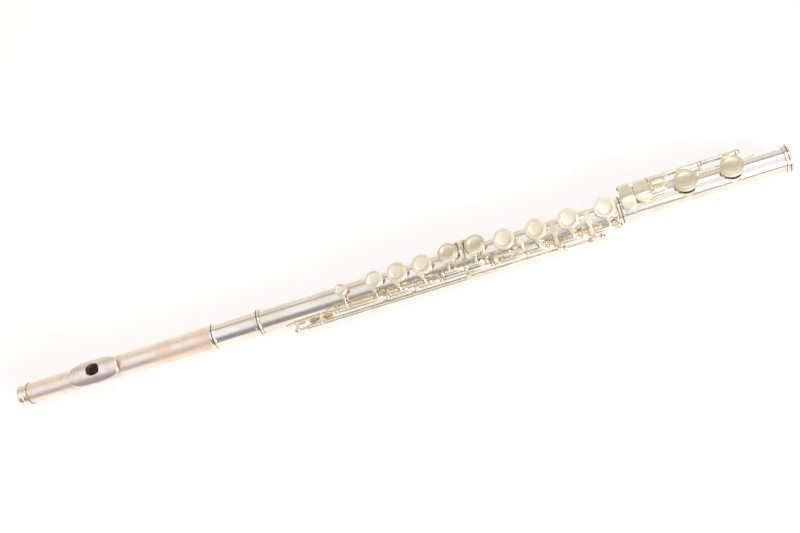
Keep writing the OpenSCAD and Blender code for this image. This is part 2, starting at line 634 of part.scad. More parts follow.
// A fork of two lugs and a pin that carries a roller
module fork(z, y, h, a) rotate([a, 0, 0]) {
    for (s = [-1, 1]) translate([at(z) + s * (roller_len / 2 + 0.75) - 0.6, y - 1.5, h - 1.7])
        cube([1.2, 3, 3.4]);
    translate([0, y, h]) rod(1.2, z - roller_len / 2 - 1, z + roller_len / 2 + 1);
}
module roller(z, y, h, a) rotate([a, 0, 0]) translate([0, y, h])
    pipe(roller_d, 1.3, z - roller_len / 2, z + roller_len / 2);
cs_roller_z = foot_d_sharp_hole + 12;
cs_roller = [2.6, rim_h + cup_h + 3.4];
c_roller = [-3.6, rim_h + cup_h + 2.2];
module foot_d_sharp_key() color(gold) {
    hinge(foot_rod, foot_post_1 + post_len / 2, ds_c_meet);
    difference() {
        union() {
            cup(foot_d_sharp_hole, left_cup, ds_cup_a);
            cup_arm(foot_d_sharp_hole, foot_rod, left_cup, ds_cup_a, -1, -6);
            arm(foot_post_1 + 4, foot_rod, ray_yz(foot_rod_r + 1.2, -26),
                ray_yz(foot_rod_r + 4.6, -48), 4, 5);
            shell_plate(drop(19, 10), foot_post_1 + 3, 0, foot_rod_r + 1.8, 1.3, 0, 90);
        }
        at_rod(foot_rod) rod(hinge_d - 0.6, foot_post_1 - 3, foot_d_sharp_hole + 12);
        pad_room(foot_d_sharp_hole, left_cup, ds_cup_a);
    }
}
module foot_d_sharp_pad() pad(foot_d_sharp_hole, left_cup, ds_cup_a);
module foot_c_sharp_key() color(gold) {
    hinge(foot_rod, c_cs_meet, foot_post_2 - post_len / 2);
    swung(foot_rod, -open_a) difference() {
        union() {
            cup(foot_c_sharp_hole, foot_cup, foot_turn);
            cup_arm(foot_c_sharp_hole, foot_rod, foot_cup, foot_turn, 1, -1.5);
            for (s = [-1, 1]) arm(cs_roller_z + s * 5.2, foot_rod, cs_roller, [10, 19], 1.4, 1.4);
            fork(cs_roller_z, cs_roller.x, cs_roller.y, 0);
        }
        at_rod(foot_rod) rod(hinge_d - 0.6, c_cs_meet - 9, foot_post_2 + 9);
        pad_room(foot_c_sharp_hole, foot_cup, foot_turn);
    }
}
module foot_c_sharp_pad() swung(foot_rod, -open_a) pad(foot_c_sharp_hole, foot_cup, foot_turn);
module low_c_key() color(gold) {
    at_rod(foot_rod) rod(steel_d, foot_post_1 - 1.8, foot_post_3 + 1.8);
    pinned_hinge(foot_rod, ds_c_meet, c_cs_meet);
    pinned_hinge(foot_rod, foot_post_2 + post_len / 2, foot_post_3 - post_len / 2);
    swung(foot_rod, -open_a) difference() {
        union() {
            cup(low_c_hole, foot_cup, foot_turn);
            cup_arm(low_c_hole, foot_rod, foot_cup, foot_turn, 1, -1.5);
            arm(mix(ds_c_meet, c_cs_meet, 0.5), foot_rod, ray_yz(foot_rod_r, -16),
                ray_yz(foot_rod_r + 3.6, -42), 4, 7);
            shell_plate(oval(12.4, 13, 3), ds_c_meet + 3.4, 6.5, foot_rod_r + 0.4, 1.2);
            translate([at(ds_c_meet + 6), c_roller.x - 1.5, c_roller.y - 1.4])
                cube([cs_roller_z - ds_c_meet - 11, 3, 1.2]);
            fork(cs_roller_z, c_roller.x, c_roller.y, 0);
        }
        at_rod(foot_rod) rod(hinge_d - 0.6, ds_c_meet - 9, foot_post_3 + 9);
        pad_room(low_c_hole, foot_cup, foot_turn);
    }
}
module low_c_pad() swung(foot_rod, -open_a) pad(low_c_hole, foot_cup, foot_turn);
module c_sharp_roller() color("#e3d6ac")
    swung(foot_rod, -open_a) roller(cs_roller_z, cs_roller.x, cs_roller.y, 0);
module low_c_roller() color("#e3d6ac")
    swung(foot_rod, -open_a) roller(cs_roller_z, c_roller.x, c_roller.y, 0);

head_tube();
lip_plate();
riser();
crown();
stopper_screw();
stopper_cork();
body_tube();
barrel();
main_rib();
thumb_rib();
main_posts();
g_posts();
trill_posts();
thumb_posts();
right_steel();
thumb_steel();
body_springs();
c_key();
c_pads();
bb_key();
bb_pad();
a_key();
a_pad();
g_key();
g_pads();
g_sharp_key();
g_sharp_pad();
thumb_key();
thumb_pad();
f_sharp_key();
f_sharp_pad();
f_key();
f_pad();
e_key();
e_pad();
d_key();
d_pad();
d_trill_key();
d_trill_pad();
d_sharp_trill_key();
d_sharp_trill_pad();
foot_tube();
foot_socket();
foot_end_ring();
foot_rib();
foot_posts();
foot_springs();
foot_d_sharp_key();
foot_d_sharp_pad();
foot_c_sharp_key();
foot_c_sharp_pad();
low_c_key();
low_c_pad();
c_sharp_roller();
low_c_roller();
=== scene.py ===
"""A concert flute on a white table: head joint, body joint and foot joint, with all their keys."""
import json
import math
import bpy
from mathutils import Matrix, Vector


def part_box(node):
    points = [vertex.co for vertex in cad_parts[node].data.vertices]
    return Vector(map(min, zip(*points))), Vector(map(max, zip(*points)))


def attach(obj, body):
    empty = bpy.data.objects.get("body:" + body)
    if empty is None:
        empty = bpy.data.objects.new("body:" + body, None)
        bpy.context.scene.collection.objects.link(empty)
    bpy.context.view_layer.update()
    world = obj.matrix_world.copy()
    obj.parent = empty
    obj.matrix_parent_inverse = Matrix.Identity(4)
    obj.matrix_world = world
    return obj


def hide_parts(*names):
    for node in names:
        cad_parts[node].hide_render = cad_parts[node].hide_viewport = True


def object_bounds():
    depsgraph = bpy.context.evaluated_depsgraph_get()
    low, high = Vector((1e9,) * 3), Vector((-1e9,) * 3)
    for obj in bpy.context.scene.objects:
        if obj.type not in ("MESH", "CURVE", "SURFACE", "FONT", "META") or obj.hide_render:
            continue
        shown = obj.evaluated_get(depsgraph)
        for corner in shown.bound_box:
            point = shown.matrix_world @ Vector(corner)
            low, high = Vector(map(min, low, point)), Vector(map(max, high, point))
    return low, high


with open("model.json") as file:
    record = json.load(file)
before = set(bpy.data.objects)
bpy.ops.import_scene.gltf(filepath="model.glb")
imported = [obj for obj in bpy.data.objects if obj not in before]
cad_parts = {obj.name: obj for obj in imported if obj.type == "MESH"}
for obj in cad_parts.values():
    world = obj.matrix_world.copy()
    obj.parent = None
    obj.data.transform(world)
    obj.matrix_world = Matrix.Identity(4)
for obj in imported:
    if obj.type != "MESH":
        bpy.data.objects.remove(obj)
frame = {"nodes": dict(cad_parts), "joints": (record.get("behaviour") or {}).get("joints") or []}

nodes = frame["nodes"]
cad_box = [list(corner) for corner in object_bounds()]
mm = 0.001
per_mm = 1 / mm

# View
# The flute is seen from about 0.9 m, from above and a little from the player's side, with the crown
# at the lower left. A 50 mm lens on a 36 mm frame gives the photograph's perspective.
camera = bpy.data.objects.new("camera", bpy.data.cameras.new("camera"))
bpy.context.scene.collection.objects.link(camera)
camera.data.lens = 50
camera.data.clip_start = 0.01
camera.location = (-0.17241, -0.38676, 0.81132)
camera.rotation_euler = [math.radians(turn) for turn in (23.039, 15.5, -12.078)]
bpy.context.scene.camera = camera
bpy.context.scene.view_settings.view_transform = "Standard"


# Table
# A sheet of matt white paper on a table, which runs out of sight on every side. It shows white to the
# camera and keeps a faint shadow on the far side of the flute. In the polished metal it shows as a
# painted reflection, dimmer than it is, that fades to grey on the player's side.
def linear(code):
    """The linear colour of an sRGB hex code, as a shader takes it."""
    parts = [int(code[i:i + 2], 16) / 255 for i in (1, 3, 5)]
    return [c / 12.92 if c <= 0.04045 else ((c + 0.055) / 1.055) ** 2.4 for c in parts] + [1]


def add(tree, kind, values=None, **settings):
    """Adds a node, sets its settings, and gives its inputs their values or links."""
    made = tree.nodes.new(kind)
    for name, setting in settings.items():
        setattr(made, name, setting)
    for name, value in (values or {}).items():
        if isinstance(value, bpy.types.NodeSocket):
            tree.links.new(value, made.inputs[name])
        else:
            made.inputs[name].default_value = value
    return made


# Painted reflection: in the metal, the paper fades to grey between these distances on the player's
# side, though the camera sees it white.
near_edge, full_white = -0.26, -0.1
paper_middle, paper_size = -0.3, 40
paper_glow, mirrored_glow = 0.5, 0.85
paper = bpy.data.materials.new("white paper")
paper.use_nodes = True
tree = paper.node_tree
tree.nodes.clear()
rays = add(tree, "ShaderNodeLightPath")
place = add(tree, "ShaderNodeSeparateXYZ", {0: add(tree, "ShaderNodeTexCoord").outputs["Object"]})
rim = add(tree, "ShaderNodeMapRange", {"Value": place.outputs["Y"], "From Min": near_edge,
                                       "From Max": full_white}, interpolation_type="SMOOTHSTEP")
painted_reflection_tone = add(tree, "ShaderNodeMix", {0: rim.outputs[0], 6: linear("#8e8a86"), 7: linear("#fffaf1")},
            data_type="RGBA")
matt = add(tree, "ShaderNodeBsdfDiffuse", {"Color": [0.26, 0.26, 0.262, 1]})
shaded = add(tree, "ShaderNodeBsdfDiffuse", {"Color": [0.55, 0.55, 0.56, 1]})
glow = add(tree, "ShaderNodeEmission", {"Color": linear("#ffffff"), "Strength": paper_glow})
seen = add(tree, "ShaderNodeAddShader", {0: glow.outputs[0], 1: shaded.outputs[0]})
mirrored = add(tree, "ShaderNodeEmission", {"Color": painted_reflection_tone.outputs[2], "Strength": mirrored_glow})
mirrored = add(tree, "ShaderNodeAddShader", {0: mirrored.outputs[0], 1: matt.outputs[0]})
plain = add(tree, "ShaderNodeBsdfDiffuse", {"Color": [0.8, 0.8, 0.8, 1]})
shown = add(tree, "ShaderNodeMixShader", {0: rays.outputs["Is Glossy Ray"], 1: plain.outputs[0],
                                          2: mirrored.outputs[0]})
shown = add(tree, "ShaderNodeMixShader", {0: rays.outputs["Is Camera Ray"], 1: shown.outputs[0],
                                          2: seen.outputs[0]})
add(tree, "ShaderNodeOutputMaterial", {"Surface": shown.outputs[0]})

bpy.ops.mesh.primitive_plane_add(size=paper_size, location=(paper_middle, 0, cad_box[0][2]))
table = bpy.context.object
table.name = "table"
table.data.materials.append(paper)

# Light
# A white room with a window low on the player's side, towards the foot, and a small skylight on the
# far side. A darker stretch of wall beside the window draws the grey band along the polished tube,
# and a cornice on the far side draws the fine brown line above it.
room = bpy.data.worlds.new("white room")
bpy.context.scene.world = room
room.use_nodes = True
tree = room.node_tree
tree.nodes.clear()
way = add(tree, "ShaderNodeSeparateXYZ", {0: add(tree, "ShaderNodeTexCoord").outputs["Generated"]})
towards = add(tree, "ShaderNodeMath", {0: way.outputs["Y"], 1: -1.0}, operation="MULTIPLY")
height = add(tree, "ShaderNodeMath", {0: way.outputs["Z"], 1: towards.outputs[0]}, operation="ARCTAN2")


def band(middle, full, none):
    """How far a direction lies in a level band of the room, round a height in radians."""
    off = add(tree, "ShaderNodeMath", {0: height.outputs[0], 1: middle}, operation="SUBTRACT")
    off = add(tree, "ShaderNodeMath", {0: off.outputs[0]}, operation="ABSOLUTE")
    return add(tree, "ShaderNodeMapRange", {"Value": off.outputs[0], "From Min": full, "From Max": none,
                                            "To Min": 1.0, "To Max": 0.0},
               interpolation_type="SMOOTHSTEP").outputs[0]


left = add(tree, "ShaderNodeMapRange", {"Value": way.outputs["X"], "From Min": -0.01, "From Max": 0.07,
                                        "To Min": 1.0, "To Max": 0.0}, interpolation_type="SMOOTHSTEP")
wall = add(tree, "ShaderNodeMath", {0: band(0.38, 0.1, 0.72), 1: left.outputs[0]},
           operation="MULTIPLY")
skirting = band(0.0, 0.03, 0.12)
cornice = band(math.pi - 1.0, 0.03, 0.21)
far_wall = band(math.pi - 0.6, 0.4, 1.1)
tone = add(tree, "ShaderNodeMix", {0: wall.outputs[0], 6: linear("#fdfcfb"), 7: linear("#94969b")},
           data_type="RGBA")
tone = add(tree, "ShaderNodeMix", {0: skirting, 6: tone.outputs[2], 7: linear("#77736e")},
           data_type="RGBA")
tone = add(tree, "ShaderNodeMix", {0: far_wall, 6: tone.outputs[2], 7: linear("#e9e5de")},
           data_type="RGBA")
tone = add(tree, "ShaderNodeMix", {0: cornice, 6: tone.outputs[2], 7: linear("#b5a595")},
           data_type="RGBA")
rays = add(tree, "ShaderNodeLightPath")
around = add(tree, "ShaderNodeBackground", {"Color": tone.outputs[2], "Strength": 1.0})
behind = add(tree, "ShaderNodeBackground", {"Color": linear("#fdfdfd"), "Strength": 1.0})
shown = add(tree, "ShaderNodeMixShader", {0: rays.outputs["Is Camera Ray"], 1: around.outputs[0],
                                          2: behind.outputs[0]})
add(tree, "ShaderNodeOutputWorld", {"Surface": shown.outputs[0]})


def pane(name, long, wide, watts, place, aim_x):
    """A lit pane that faces a point on the middle line of the flute."""
    lamp = bpy.data.objects.new(name, bpy.data.lights.new(name, "AREA"))
    bpy.context.scene.collection.objects.link(lamp)
    lamp.data.shape = "RECTANGLE"
    lamp.data.size, lamp.data.size_y = long, wide
    lamp.data.energy = watts
    lamp.location = place
    lamp.rotation_euler = (Vector((aim_x, 0, 0)) - lamp.location).to_track_quat("-Z", "Y").to_euler()
    return lamp


pane("window", 0.9, 0.6, 11, (0.5, -1.15, 0.6), -0.2).data.color = linear("#fffaf2")[:3]
pane("skylight", 0.8, 0.35, 1.3, (0.15, 0.3, 1.4), -0.25)


# Head joint
# A tapering tube of silver-plated brass, drawn and polished by hand. The plating is thin on the
# player's side and lets the brass through, so it looks pink, with cloudy patches and fine rubbing.
def worn_metal(name, bright, dull, spot, patch_mm, rough, rub=0.25, lines=(1, 1, 1), stains=0.6):
    """A polished metal whose tone and gloss change in cloudy patches, with fine rub marks.

    A spot is the colour of a stain, rub is the strength of the marks, and lines stretches them."""
    speck_mm, grain_mm, mark_deep = 1.7, 0.5, 0.02 * mm
    metal = bpy.data.materials.new(name)
    metal.use_nodes = True
    tree = metal.node_tree
    shader = tree.nodes["Principled BSDF"]
    place = add(tree, "ShaderNodeTexCoord").outputs["Object"]
    cloud = add(tree, "ShaderNodeTexNoise", {"Vector": place, "Scale": per_mm / patch_mm, "Detail": 5.0,
                                             "Roughness": 0.62})
    share = add(tree, "ShaderNodeMapRange", {"Value": cloud.outputs[0], "From Min": 0.36,
                                             "From Max": 0.66}, interpolation_type="SMOOTHSTEP")
    tone = add(tree, "ShaderNodeMix", {0: share.outputs[0], 6: linear(bright), 7: linear(dull)},
               data_type="RGBA")
    speck = add(tree, "ShaderNodeTexNoise", {"Vector": place, "Scale": per_mm / speck_mm,
                                             "Detail": 3.0})
    stain = add(tree, "ShaderNodeMapRange", {"Value": speck.outputs[0], "From Min": 0.58,
                                             "From Max": 0.76, "To Max": stains})
    mixed = add(tree, "ShaderNodeMix", {0: stain.outputs[0], 6: tone.outputs[2], 7: linear(spot)},
                data_type="RGBA")
    drawn = add(tree, "ShaderNodeMapping", {"Vector": place, "Scale": lines})
    grain = add(tree, "ShaderNodeTexNoise", {"Vector": drawn.outputs[0], "Scale": per_mm / grain_mm,
                                             "Detail": 2.0})
    gloss = add(tree, "ShaderNodeMapRange", {"Value": cloud.outputs[0], "From Min": 0.3,
                                             "From Max": 0.7, "To Min": rough * 0.8,
                                             "To Max": rough * 1.35})
    relief = add(tree, "ShaderNodeBump", {"Height": grain.outputs[0], "Strength": rub,
                                          "Distance": mark_deep})
    for socket, value in (("Base Color", mixed.outputs[2]), ("Roughness", gloss.outputs[0]),
                          ("Normal", relief.outputs[0])):
        tree.links.new(value, shader.inputs[socket])
    shader.inputs["Metallic"].default_value = 1.0
    return metal


def dress(material, *names):
    """Gives CAD nodes their material."""
    for name in names:
        piece = nodes[name]
        if not piece.material_slots:
            piece.data.materials.append(None)
        for place in piece.material_slots:
            place.material = material


worn_plating = worn_metal("worn silver plating, rubbed to the brass", "#fff3e9", "#fae0cd", "#dccbbc",
                          patch_mm=26, rough=0.44, lines=(0.05, 1, 1))
crown_brass = worn_metal("lacquered brass, turned", "#faf5e6", "#efe7cf", "#c9b88c", patch_mm=9,
                         rough=0.24, lines=(1, 0.1, 0.1))
steel = worn_metal("ground steel", "#a5a6a6", "#8b8a87", "#6e6a63", patch_mm=8, rough=0.3,
                   lines=(1, 0.1, 0.1))
cork = bpy.data.materials.new("natural cork")
cork.use_nodes = True
tree = cork.node_tree
place = add(tree, "ShaderNodeTexCoord").outputs["Object"]
cells = add(tree, "ShaderNodeTexVoronoi", {"Vector": place, "Scale": per_mm / 1.4})
tone = add(tree, "ShaderNodeMix", {0: cells.outputs["Distance"], 6: linear("#8c6238"),
                                   7: linear("#cda46e")}, data_type="RGBA")
tree.links.new(tone.outputs[2], tree.nodes["Principled BSDF"].inputs["Base Color"])
tree.nodes["Principled BSDF"].inputs["Roughness"].default_value = 0.85

dress(worn_plating, "head_tube")
dress(crown_brass, "crown")
dress(steel, "stopper_screw")
dress(cork, "stopper_cork")

# Lip plate
# A saddle of silver plate, beaten to shape and soldered on its riser. It curves round the tube, its
# edges roll down, and its hole is a rounded oval through the plate, with all its edges rounded.
lip_silver = worn_metal("dull silver plating of the lip plate", "#fbf5f0", "#ecdbd2", "#c4bcb8",
                        patch_mm=12, rough=0.3)
low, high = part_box("lip_plate")
plate_x = (low[0] + high[0]) / 2
plate_long = high[0] - low[0]
plate_wide = 24 * mm
plate_r = 14.4 * mm
plate_turn = math.radians(18)
hole_turn = math.radians(9)
hole_long, hole_wide = 12.2 * mm, 10.2 * mm
hole_power, plate_power = 2.5, 3.2
plate_thick = 1.0 * mm
edge_roll = 0.75 * mm
roll_start = 0.8
skin_gap = 0.08 * mm


def oval(share, long, wide, power):
    """A point on a rounded outline: an ellipse at power 2, squarer above it."""
    turn = 2 * math.pi * share
    along, across = math.cos(turn), math.sin(turn)
    return (long / 2 * math.copysign(abs(along) ** (2 / power), along),
            wide / 2 * math.copysign(abs(across) ** (2 / power), across))


points, faces = [], []
rings, spokes = 14, 96
for ring in range(rings + 1):
    part = ring / rings
    for spoke in range(spokes):
        inner = oval(spoke / spokes, hole_long, hole_wide, hole_power)
        outer = oval(spoke / spokes, plate_long, plate_wide, plate_power)
        x = inner[0] + (outer[0] - inner[0]) * part
        arc = inner[1] + (outer[1] - inner[1]) * part
        turn = hole_turn + (plate_turn - hole_turn) * part + arc / plate_r
        rolled = max(0.0, part - roll_start) / (1 - roll_start)
        r = plate_r + skin_gap - edge_roll * rolled ** 2
        points.append((plate_x + x, -r * math.sin(turn), r * math.cos(turn)))
for ring in range(rings):
    for spoke in range(spokes):
        a, b = ring * spokes + spoke, ring * spokes + (spoke + 1) % spokes
        faces.append((a, b, b + spokes, a + spokes))
shape = bpy.data.meshes.new("lip plate saddle")
shape.from_pydata(points, [], faces)
saddle = bpy.data.objects.new("lip_plate_saddle", shape)
bpy.context.scene.collection.objects.link(saddle)


def pick(piece, chosen=None):
    """Selects and opens one piece, with only the chosen faces of its mesh selected."""
    if piece.mode == "EDIT":
        bpy.ops.object.mode_set(mode="OBJECT")
    bpy.ops.object.select_all(action="DESELECT")
    piece.select_set(True)
    bpy.context.view_layer.objects.active = piece
    bpy.ops.object.mode_set(mode="EDIT")
    bpy.ops.mesh.select_mode(type="FACE")
    bpy.ops.mesh.select_all(action="DESELECT")
    bpy.ops.object.mode_set(mode="OBJECT")
    for face in piece.data.polygons:
        face.select = chosen is None or chosen(face)
    bpy.ops.object.mode_set(mode="EDIT")


def finish(piece, material, body, angle=35):
    """Leaves edit mode, smooths the piece, and gives it its material and body."""
    bpy.context.view_layer.objects.active = piece
    if piece.mode == "EDIT":
        bpy.ops.object.mode_set(mode="OBJECT")
    bpy.ops.object.select_all(action="DESELECT")
    piece.select_set(True)
    bpy.ops.object.transform_apply(location=True, rotation=True, scale=True)
    bpy.ops.object.shade_smooth_by_angle(angle=math.radians(angle))
    piece.data.materials.clear()
    piece.data.materials.append(material)
    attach(piece, body)
    return piece


def apply(piece, kind, **settings):
    """Adds a modifier and applies it."""
    bpy.ops.object.select_all(action="DESELECT")
    piece.select_set(True)
    bpy.context.view_layer.objects.active = piece
    change = piece.modifiers.new(kind.lower(), kind)
    for name, setting in settings.items():
        setattr(change, name, setting)
    bpy.ops.object.modifier_apply(modifier=change.name)


def round_edges(piece, width, segments):
    """Rounds every edge sharper than 50 degrees."""
    apply(piece, "BEVEL", width=width, segments=segments, limit_method="ANGLE",
          angle_limit=math.radians(50))


pick(saddle)
bpy.ops.mesh.normals_make_consistent(inside=False)
bpy.ops.object.mode_set(mode="OBJECT")
apply(saddle, "SOLIDIFY", thickness=plate_thick, offset=-1.0)
round_edges(saddle, 0.22 * mm, 2)
finish(saddle, lip_silver, "head_joint")
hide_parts("lip_plate")
dress(lip_silver, "riser")

# Body joint
# A seamless tube of nickel silver with bright silver plating, and a barrel that takes the head
# joint. It is mirror-polished, with a warm cast where the plating has aged.
silver_plating = worn_metal("bright silver plating, polished", "#f9f4ee", "#f0e6dc", "#d8cdc2",
                            patch_mm=38, rough=0.19, rub=0.1, lines=(0.05, 1, 1), stains=0.4)
foot_plating = worn_metal("silver plating of the foot", "#f7f3ef", "#efe5d9", "#d3c6b6", patch_mm=30,
                          rough=0.14, rub=0.1, lines=(0.05, 1, 1), stains=0.4)
dress(silver_plating, "body_tube", "barrel")
dress(foot_plating, "foot_tube", "foot_socket", "foot_end_ring")

# Dirt and painted shade in the joints
# A dark brown line sits in the groove of a ring, and where a ring meets a tube: partly dried polish and
# dust, and partly painted shade in the groove. Each line is a thin ring of its own, half sunk in the
# metal.
dirt_and_painted_shade = bpy.data.materials.new("dried polish, dust and painted shade")
dirt_and_painted_shade.use_nodes = True
tree = dirt_and_painted_shade.node_tree
place = add(tree, "ShaderNodeTexCoord").outputs["Object"]
crumbs = add(tree, "ShaderNodeTexNoise", {"Vector": place, "Scale": per_mm / 0.9, "Detail": 4.0})
tone = add(tree, "ShaderNodeMix", {0: crumbs.outputs[0], 6: linear("#4c3a26"), 7: linear("#8a7350")},
           data_type="RGBA")
tree.links.new(tone.outputs[2], tree.nodes["Principled BSDF"].inputs["Base Color"])
tree.nodes["Principled BSDF"].inputs["Roughness"].default_value = 0.8


def ring_of_dirt_and_shade(name, x, y, z, radius, thick, body):
    """A thin dark ring of dirt and painted shade round a tube or rod that runs along the flute."""
    bpy.ops.mesh.primitive_torus_add(major_segments=72, minor_segments=8, major_radius=radius,
                                     minor_radius=thick, location=(x, y, z),
                                     rotation=(0, math.pi / 2, 0))
    line = bpy.context.object
    line.name = name
    return finish(line, dirt_and_painted_shade, body)


ring_r = 11.15 * mm
ring_long = 4.8 * mm
groove = 0.585 * ring_long
groove_r = ring_r - 0.3 * mm
tube_r = 9.9 * mm
crown_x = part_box("head_tube")[0][0]
barrel_low, barrel_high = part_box("barrel")
socket_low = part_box("foot_socket")[0]
end_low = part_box("foot_end_ring")[0]
for name, x, body in (("barrel_line_1", barrel_low[0] + groove, "body_joint"),
                      ("barrel_line_2", barrel_high[0] - ring_long + groove, "body_joint"),
                      ("socket_line", socket_low[0] + groove, "foot_joint"),
                      ("end_line", end_low[0] + groove, "foot_joint")):
    ring_of_dirt_and_shade(name, x, 0, 0, groove_r, 0.2 * mm, body)
ring_of_dirt_and_shade("barrel_corner", barrel_high[0], 0, 0, tube_r, 0.22 * mm, "body_joint")
ring_of_dirt_and_shade("end_corner", end_low[0], 0, 0, tube_r, 0.2 * mm, "foot_joint")

# Crown skirt
# The crown is a turned brass cap. Its skirt laps the end of the head tube and closes on it with a fine
# groove, drawn as a dark ring of dried polish and painted shade.
skirt_r = 9.4 * mm
skirt_long = 3.6 * mm
skirt_lap = 0.2 * mm
bpy.ops.mesh.primitive_cylinder_add(vertices=96, radius=skirt_r, depth=skirt_long + 2 * skirt_lap,
                                    location=(crown_x + skirt_long / 2, 0, 0),
                                    rotation=(0, math.pi / 2, 0))
skirt = bpy.context.object
skirt.name = "crown_skirt"
round_edges(skirt, 0.25 * mm, 3)
finish(skirt, crown_brass, "crown")
line_x = crown_x + skirt_long + 0.25 * mm
ring_of_dirt_and_shade("crown_line", line_x, 0, 0, skirt_r - 0.3 * mm, 0.3 * mm, "crown")

# Keywork
# Cups, arms and hinge tubes are nickel silver, which has tarnished to a pale cream yellow. Ribs and
# posts are soldered to the tube and are a little deeper in colour, and the springs are blued wire.
key_metal = worn_metal("tarnished nickel silver, polished by use", "#f8f1df", "#ede2c8", "#d0c3a2",
                       patch_mm=12, rough=0.26, rub=0.08, stains=0.3)
rod_metal = worn_metal("nickel silver tube, worn bright", "#faf6ee", "#efe7d8", "#c6bba2",
                       patch_mm=9, rough=0.2, rub=0.1, lines=(0.1, 1, 1), stains=0.4)
rib_metal = worn_metal("tarnished nickel silver, left in the corners", "#f4eedd", "#e6dbc0", "#b9ab86",
                       patch_mm=6, rough=0.26, rub=0.1)
spring_steel = worn_metal("blued spring steel", "#60646e", "#474a55", "#8a8580", patch_mm=3, rough=0.3)
for name in nodes:
    if name.endswith("_key") or name.endswith("_roller"):
        dress(key_metal, name)
    if name.endswith("_posts") or name.endswith("_rib"):
        dress(rib_metal, name)
    if name.endswith("_springs"):
        dress(spring_steel, name)
dress(steel, "right_steel", "thumb_steel")

# Pads
# Discs of woven felt under a thin skin, set in the cups. The skin is yellowed and lightly creased.
skin = bpy.data.materials.new("fish skin over felt")
skin.use_nodes = True
tree = skin.node_tree
place = add(tree, "ShaderNodeTexCoord").outputs["Object"]
folds = add(tree, "ShaderNodeTexNoise", {"Vector": place, "Scale": per_mm / 2.2, "Detail": 4.0})
tone = add(tree, "ShaderNodeMix", {0: folds.outputs[0], 6: linear("#e4cf9f"), 7: linear("#b98f57")},
           data_type="RGBA")
tree.links.new(tone.outputs[2], tree.nodes["Principled BSDF"].inputs["Base Color"])
tree.nodes["Principled BSDF"].inputs["Roughness"].default_value = 0.55
for name in nodes:
    if name.endswith("_pad") or name.endswith("_pads"):
        dress(skin, name)

# Cup faces
# Each cup is pressed over a die, which leaves a raised bead round a shallow dish. The face has the
# same metal as the cup.
cup_bodies = {"c_pads": "c_key", "g_pads": "g_key"}


def pad_places(name):
    """The centre of each pad's top, the way it faces and its radius, read from the pad's own mesh."""
    mesh = nodes[name].data
    corners = [mesh.vertices[i].co for face in mesh.polygons for i in face.vertices]
    middle = sum((face.center * face.area for face in mesh.polygons), Vector())
    middle /= sum(face.area for face in mesh.polygons)
    outward = Vector((0, middle.y, middle.z)).normalized()
    tops = [face for face in mesh.polygons if face.normal.dot(outward) > 0.5]
    facing = max(tops, key=lambda face: face.area).normal.copy()
    tops = [face for face in tops if face.normal.dot(facing) > 0.999]
    spots = sorted(mesh.vertices[i].co.x for face in tops for i in face.vertices)
    gap = max(range(1, len(spots)), key=lambda i: spots[i] - spots[i - 1])
    split = (spots[gap] + spots[gap - 1]) / 2 if name.endswith("_pads") else spots[0] - mm
    found = []
    for side in (False, True):
        group = [mesh.vertices[i].co for face in tops for i in face.vertices
                 if (mesh.vertices[i].co.x > split) == side]
        if group:
            low = Vector([min(p[i] for p in group) for i in range(3)])
            high = Vector([max(p[i] for p in group) for i in range(3)])
            found.append(((low + high) / 2, facing, (high.x - low.x) / 2))
    return found


land_above_pad = 0.95 * mm
sunk = 0.22 * mm
cup_wall = 0.5 * mm
face_share, face_deep = 0.82, 0.5 * mm
profile = ((0.035, 0.16), (0.04, 0.1), (0.04, -0.1), (0.035, -0.22), (0.1, -0.14), (0.14, -0.12),
           (0.16, -0.06), (0.12, -0.02))


def cup_face(name, centre, facing, pad_r, body):
    """A raised bead round a shallow dish, on the land of one cup.

    The profile says how far each ring of the die lies inward, as a share of the radius, and how many
    millimetres it rises."""
    r = pad_r + cup_wall
    bpy.ops.mesh.primitive_cylinder_add(vertices=72, radius=r * face_share, depth=face_deep,
                                        location=(0, 0, 0))
    face = bpy.context.object
    face.name = name
    pick(face, lambda side: side.normal.z > 0.9)
    for inward, up in profile:
        bpy.ops.mesh.inset(thickness=inward * r, depth=0)
        bpy.ops.transform.translate(value=(0, 0, up * mm))
    bpy.ops.mesh.poke()
    bpy.ops.object.mode_set(mode="OBJECT")
    place = facing.to_track_quat("Z", "X").to_matrix().to_4x4()
    face.data.transform(Matrix.Translation(centre + facing * (land_above_pad - sunk)) @ place)
    return finish(face, key_metal, body, 60)


for name in sorted(nodes):
    if name.endswith("_pad") or name.endswith("_pads"):
        body = cup_bodies.get(name, name[:-4] + "_key")
        for count, (centre, facing, pad_r) in enumerate(pad_places(name)):
            cup_face(f"{name[:-4]}_face_{count + 1}", centre, facing, pad_r, body)

# Hinge tubes
# Each key is soldered to a length of drawn tube, which turns on a steel. Fingers and cloth keep the
# tubes bright, and a dark ring of dried oil and painted shade marks where one tube meets the next.
# From here on, places along the flute are in millimetres from the mouth hole.
mouth_to_end = 593 * mm
start_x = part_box("foot_end_ring")[1][0] - mouth_to_end


def rod_of(joint_name):
    """Where the rod of a hinge runs, across the flute."""
    joint = next(joint for joint in frame["joints"] if joint["name"] == joint_name)
    return Vector(joint["pos_m"][1:])


